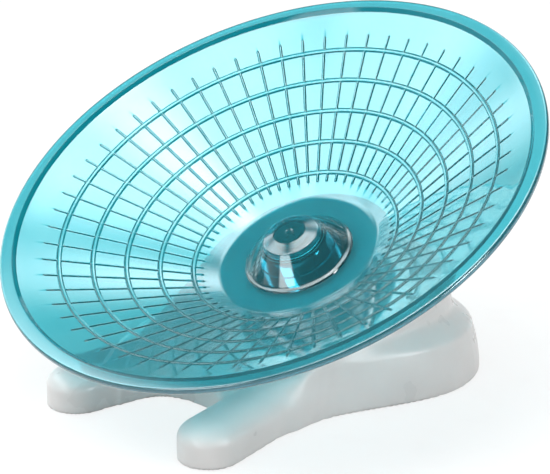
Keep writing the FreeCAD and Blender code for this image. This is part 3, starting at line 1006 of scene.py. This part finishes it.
    def outside(self, points: np.ndarray) -> np.ndarray:
        """Measures distances to the stand's outer form, open below.

        Args:
            points: Rows of x, y and z.

        Returns:
            Distances, negative inside.
        """
        head = self.head(points, self.head_radius, self.head_height, self.socket_bottom)
        form = smooth_min(self.body(points), head, self.head_blend)
        front = smooth_min(self.legs(points), self.web(points), self.edge_round)
        return smooth_min(form, front, self.leg_blend)

    def pad_distance(self, points: np.ndarray) -> np.ndarray:
        """Measures level distances to the nearest foot pad's middle.

        Args:
            points: Rows of x, y and z.

        Returns:
            Distances.
        """
        x = np.abs(points[:, 0])
        front = np.hypot(x - self.leg_tip_x, points[:, 1] - self.leg_tip_y)
        return np.minimum(front, np.hypot(x - self.rear_pad_x, points[:, 1] - self.rear_pad_y))

    def gussets(self, points: np.ndarray) -> np.ndarray:
        """Measures distances to the four upright plates round the socket.

        Args:
            points: Rows of x, y and z.

        Returns:
            Distances, negative inside.
        """
        local = self.axis.to_dish(points)
        x, y = local[:, 0], local[:, 1]
        across = np.minimum(np.abs(x + y), np.abs(x - y)) / math.sqrt(2.0)
        span = np.hypot(x, y) - self.head_radius
        low = self.head_height - self.gusset_height - local[:, 2]
        return np.maximum(np.maximum(across - self.gusset_thickness / 2.0, span), low)

    def distance(self, points: np.ndarray) -> np.ndarray:
        """Measures distances to the finished hollow stand.

        Args:
            points: Rows of x, y and z.

        Returns:
            Distances, negative inside the plastic.
        """
        outside = self.outside(points)
        shell = np.maximum(outside, -(outside + self.wall))
        pads = self.pad_distance(points)
        socket = self.head(points, self.socket_radius, self.head_height, self.socket_bottom)
        inner = np.minimum(np.minimum(pads - self.post_radius, socket), self.gussets(points))
        solid = smooth_min(shell, np.maximum(inner, outside + self.inside_blend), self.inside_blend)
        local = self.axis.to_dish(points)
        bore = self.bore_radius - np.hypot(local[:, 0], local[:, 1])
        recess = np.minimum(self.pad_radius - pads, self.pad_depth - points[:, 2])
        cut = np.maximum(np.maximum(solid, bore), recess)
        return smooth_max(cut, self.underside - points[:, 2], self.underside_round)

    def in_chunks(self, points: np.ndarray) -> np.ndarray:
        """Measures many points a part at a time, to keep memory small."""
        parts = [self.distance(points[i:i + self.chunk]) for i in range(0, len(points), self.chunk)]
        return np.concatenate(parts)

    def build(self) -> Object:
        """Returns the stand as one closed mesh, drawn where its distance field is zero."""
        margin = 2.0 * self.cell
        low = np.array([-self.half_width, self.leg_tip_y - self.leg_half_width, 0.0]) - margin
        high = np.array([self.half_width + margin, self.rear + margin, self.grid_top])
        counts = np.ceil((high - low) / self.cell).astype(int) + 1
        axes = [low[k] + self.cell * np.arange(counts[k]) for k in range(3)]
        grid = np.stack(np.meshgrid(*axes, indexing="ij"), axis=-1)
        field = self.in_chunks(grid.reshape(-1, 3)).reshape(counts)
        points, faces = surface_net(field)
        points = low + points * self.cell
        for _ in range(self.settle_rounds):
            points = self.settle(points)
        return add_mesh("milky_stand", points, faces, self.sharp_angle)

    def settle(self, points: np.ndarray) -> np.ndarray:
        """Moves mesh points onto the surface.

        Args:
            points: Points near the surface.

        Returns:
            Points on it, each moved by half a cell at most.
        """
        reach = self.settle_reach
        value = self.in_chunks(points)
        slope = np.stack([self.in_chunks(points + step) - self.in_chunks(points - step)
                          for step in np.eye(3) * reach], axis=-1) / (2.0 * reach)
        steepness = (slope * slope).sum(axis=1, keepdims=True)
        move = -value[:, None] * slope / np.maximum(steepness, self.least_slope)
        far = np.linalg.norm(move, axis=1, keepdims=True)
        return points + move * np.minimum(1.0, self.cell / 2.0 / np.maximum(far, NEAR_ZERO))

    def dress(self, piece: Object, plastic: Material) -> None:
        """Gives the stand its plastic and lets it stand for the solid.

        Args:
            piece: The stand's mesh object.
            plastic: The milky plastic.
        """
        piece.data.materials.append(plastic)
        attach(piece, Body.STAND.value)
        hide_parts("stand")


def surface_net(field: np.ndarray) -> tuple[np.ndarray, list]:
    """Draws a closed mesh where a field on a grid changes sign.

    Args:
        field: Distances at the grid's points, negative inside.

    Returns:
        Points in grid steps, and quads that face outwards.
    """
    cells = np.array(field.shape) - 1
    total = np.zeros((int(np.prod(cells)), 3))
    count = np.zeros(len(total))
    quads = []
    for axis in range(3):
        lower = np.take(field, range(cells[axis]), axis=axis)
        upper = np.take(field, range(1, cells[axis] + 1), axis=axis)
        spots = np.argwhere((lower < 0) != (upper < 0))
        value = lower[tuple(spots.T)]
        crossing = spots.astype(float)
        crossing[:, axis] += value / (value - upper[tuple(spots.T)])
        first, second = [other for other in range(3) if other != axis]
        around = []
        for step_first, step_second in ((1, 1), (0, 1), (0, 0), (1, 0)):
            cell = spots.copy()
            cell[:, first] -= step_first
            cell[:, second] -= step_second
            flat = np.ravel_multi_index(cell.T, cells)
            np.add.at(total, flat, crossing)
            np.add.at(count, flat, 1.0)
            around.append(flat)
        quad = np.stack(around, axis=-1)
        flip = (value < 0) == (axis == 1)
        quad[flip] = quad[flip][:, ::-1]
        quads.append(quad)
    used = np.flatnonzero(count)
    number = np.full(len(total), -1)
    number[used] = np.arange(len(used))
    return total[used] / count[used, None], number[np.concatenate(quads)].tolist()


@dataclass
class Hardware:
    """Steel, nylon and rubber pieces that keep their solids."""

    nodes: dict

    def dress(self) -> None:
        """Gives every small piece its finish."""
        steel = PLATED_STEEL.make()
        zinc = BRIGHT_ZINC.make()
        finishes = {"bearing_ball": BALL_STEEL.make(), "bearing_cage": CAGE_NYLON.make(),
                    "foot_pad": PAD_RUBBER.make(), "bearing": steel, "axle": steel,
                    "retainer": zinc, "clamp": zinc}
        for name, piece in self.nodes.items():
            finish = next((made for start, made in finishes.items() if name.startswith(start)), None)
            if finish is None:
                continue
            piece.data.materials.clear()
            piece.data.materials.append(finish)
            LOG.info("%s: %s", name, finish.name)


@dataclass(frozen=True)
class Softbox:
    """Soft lamp that is aimed at the middle of the object."""

    name: str
    azimuth: float
    elevation: float
    width: float
    height: float
    glow: float
    distance: float = 1.2
    soft_edge: float = 0.15

    def soften(self, lamp: AreaLight) -> None:
        """Lets a lamp's glow fall off towards its edges.

        Args:
            lamp: The lamp to soften.
        """
        sheet = NodeSheet(lamp, "ShaderNodeOutputLight")
        place = sheet.node("ShaderNodeNewGeometry")
        parts = sheet.node("ShaderNodeSeparateXYZ")
        sheet.link(place.outputs["Parametric"], parts.inputs["Vector"])
        fades = []
        for direction in ("X", "Y"):
            from_edge = sheet.calculate("PINGPONG", parts.outputs[direction], LAMP_MIDDLE)
            fades.append(sheet.spread(from_edge, 0.0, 1.0, 0.0, self.soft_edge, eased=True))
        glow = sheet.node("ShaderNodeEmission", Color=WHITE)
        sheet.link(sheet.calculate("MULTIPLY", *fades), glow.inputs["Strength"])
        sheet.show(glow.outputs["Emission"])

    def place(self, target: Vector) -> Object:
        """Adds the lamp.

        Args:
            target: Point that the lamp faces.

        Returns:
            The lamp object.
        """
        turn = math.radians(self.azimuth)
        rise = math.radians(self.elevation)
        level = math.cos(rise)
        away = Vector((math.sin(turn) * level, -math.cos(turn) * level, math.sin(rise)))
        lamp = bpy.data.lights.new(self.name, "AREA")
        lamp.shape = "RECTANGLE"
        lamp.size = self.width
        lamp.size_y = self.height
        lamp.energy = self.glow * math.pi * self.width * self.height
        self.soften(lamp)
        holder = bpy.data.objects.new(self.name, lamp)
        holder.location = target + away * self.distance
        holder.rotation_euler = away.to_track_quat("Z", "Y").to_euler()
        bpy.context.scene.collection.objects.link(holder)
        return holder


@dataclass
class Studio:
    """Camera, pale floor, white surroundings and soft lamps."""

    camera_place: tuple[float, float, float] = (0.5000, -0.5265, 0.3125)
    camera_ahead: tuple[float, float, float] = (-0.6462, 0.6855, -0.3363)
    lens: float = 143.97
    sensor: float = 36.0
    floor_half: float = 6.0
    horizon_glow: float = 1.0
    ceiling_glow: float = 0.12
    haze_start: float = 0.05
    haze_end: float = 0.32
    floor_glow: float = 0.8
    paper_dark: Colour = (0.19, 0.19, 0.19)
    paper_pale: Colour = (0.21, 0.21, 0.21)
    paper_scale: float = 60.0
    paper_detail: float = 3.0
    target: tuple[float, float, float] = (0.0, 0.0, 0.05)
    softboxes: tuple[Softbox, ...] = (
        Softbox("front_softbox", azimuth=-2.0, elevation=15.0, width=0.6, height=0.4,
                glow=5.0, distance=1.1),
        Softbox("right_softbox", azimuth=97.0, elevation=20.0, width=0.36, height=0.6,
                glow=11.0, distance=1.1),
        Softbox("overhead_softbox", azimuth=0.0, elevation=78.7, width=1.0, height=1.9,
                glow=5.0, soft_edge=0.3),
        Softbox("zenith_softbox", azimuth=33.0, elevation=79.0, width=0.5, height=0.5,
                glow=5.0, soft_edge=0.5),
        Softbox("upper_softbox", azimuth=-42.0, elevation=42.0, width=2.0, height=0.75,
                glow=4.2, soft_edge=0.35),
        Softbox("left_softbox", azimuth=-85.0, elevation=22.0, width=1.2, height=0.5,
                glow=2.4, soft_edge=0.4),
        Softbox("rear_softbox", azimuth=-153.0, elevation=51.0, width=0.7, height=0.8,
                glow=4.0, soft_edge=0.5))

    def place_camera(self) -> None:
        """Adds the camera at the viewing angle."""
        camera = bpy.data.cameras.new("camera")
        camera.lens = self.lens
        camera.sensor_width = self.sensor
        holder = bpy.data.objects.new("camera", camera)
        holder.location = self.camera_place
        holder.rotation_euler = Vector(self.camera_ahead).to_track_quat("-Z", "Y").to_euler()
        bpy.context.scene.collection.objects.link(holder)
        bpy.context.scene.camera = holder

    def light_up(self) -> None:
        """Adds the lamps and the white surroundings."""
        for box in self.softboxes:
            box.place(Vector(self.target))
        world = bpy.data.worlds.new("white_studio")
        bpy.context.scene.world = world
        sheet = NodeSheet(world, "ShaderNodeOutputWorld")
        place = sheet.node("ShaderNodeTexCoord")
        parts = sheet.node("ShaderNodeSeparateXYZ")
        sheet.link(place.outputs["Generated"], parts.inputs["Vector"])
        level = sheet.spread(parts.outputs["Z"], self.horizon_glow, self.ceiling_glow,
                             self.haze_start, self.haze_end, eased=True)
        white = sheet.node("ShaderNodeBackground", Color=WHITE)
        sheet.link(level, white.inputs["Strength"])
        sheet.show(white.outputs["Background"])

    def seen_directly(self, sheet: NodeSheet) -> NodeSocket:
        """Finds how much the floor glows for the kind of ray that meets it.

        Args:
            sheet: Node tree of the floor.

        Returns:
            The floor's glow for rays from the camera, a reflection or clear plastic, and else nothing.
        """
        path = sheet.node("ShaderNodeLightPath")
        seen = path.outputs["Is Camera Ray"]
        for kind in ("Is Glossy Ray", "Is Transmission Ray"):
            seen = sheet.calculate("MAXIMUM", seen, path.outputs[kind])
        return sheet.calculate("MULTIPLY", seen, self.floor_glow)

    def lay_floor(self) -> None:
        """Adds the pale floor, which keeps the object's shadow."""
        half = self.floor_half / MILLIMETRE
        corners = np.array([[-half, -half, 0.0], [half, -half, 0.0],
                            [half, half, 0.0], [-half, half, 0.0]])
        floor = add_mesh("floor", corners, [(0, 1, 2, 3)])
        sheet = NodeSheet(bpy.data.materials.new("floor_paper"))
        paper = sheet.node("ShaderNodeBsdfDiffuse")
        grain = sheet.noise(self.paper_scale, self.paper_detail)
        sheet.link(sheet.ramp(grain, self.paper_dark, self.paper_pale), paper.inputs["Color"])
        glow = sheet.node("ShaderNodeEmission", Color=WHITE)
        sheet.link(self.seen_directly(sheet), glow.inputs["Strength"])
        both = sheet.node("ShaderNodeAddShader")
        sheet.link(paper.outputs["BSDF"], both.inputs[0])
        sheet.link(glow.outputs["Emission"], both.inputs[1])
        sheet.show(both.outputs["Shader"])
        floor.data.materials.append(sheet.owner)

    def set_up(self) -> None:
        """Builds the studio."""
        bpy.context.scene.view_settings.view_transform = "Standard"
        self.place_camera()
        self.light_up()
        self.lay_floor()


def main() -> None:
    """Builds the running disc's pieces in order."""
    logging.basicConfig(level=logging.INFO, format="%(name)s: %(message)s")
    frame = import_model()
    axis = DishAxis()
    dish = RunningDish(axis)
    dish.dress(dish.build(), [TURQUOISE.make(), FLANK_PAINTED_SHADE.make(), STEP_PAINTED_SHADE.make()])
    cap = HubCap(axis)
    cap.dress(cap.build(), CAP_PAINTED_SHADE.make())
    stand = Stand(axis)
    stand.dress(stand.build(), MILK.make())
    Hardware(frame["nodes"]).dress()
    Studio().set_up()


if __name__ == "__main__":
    main()
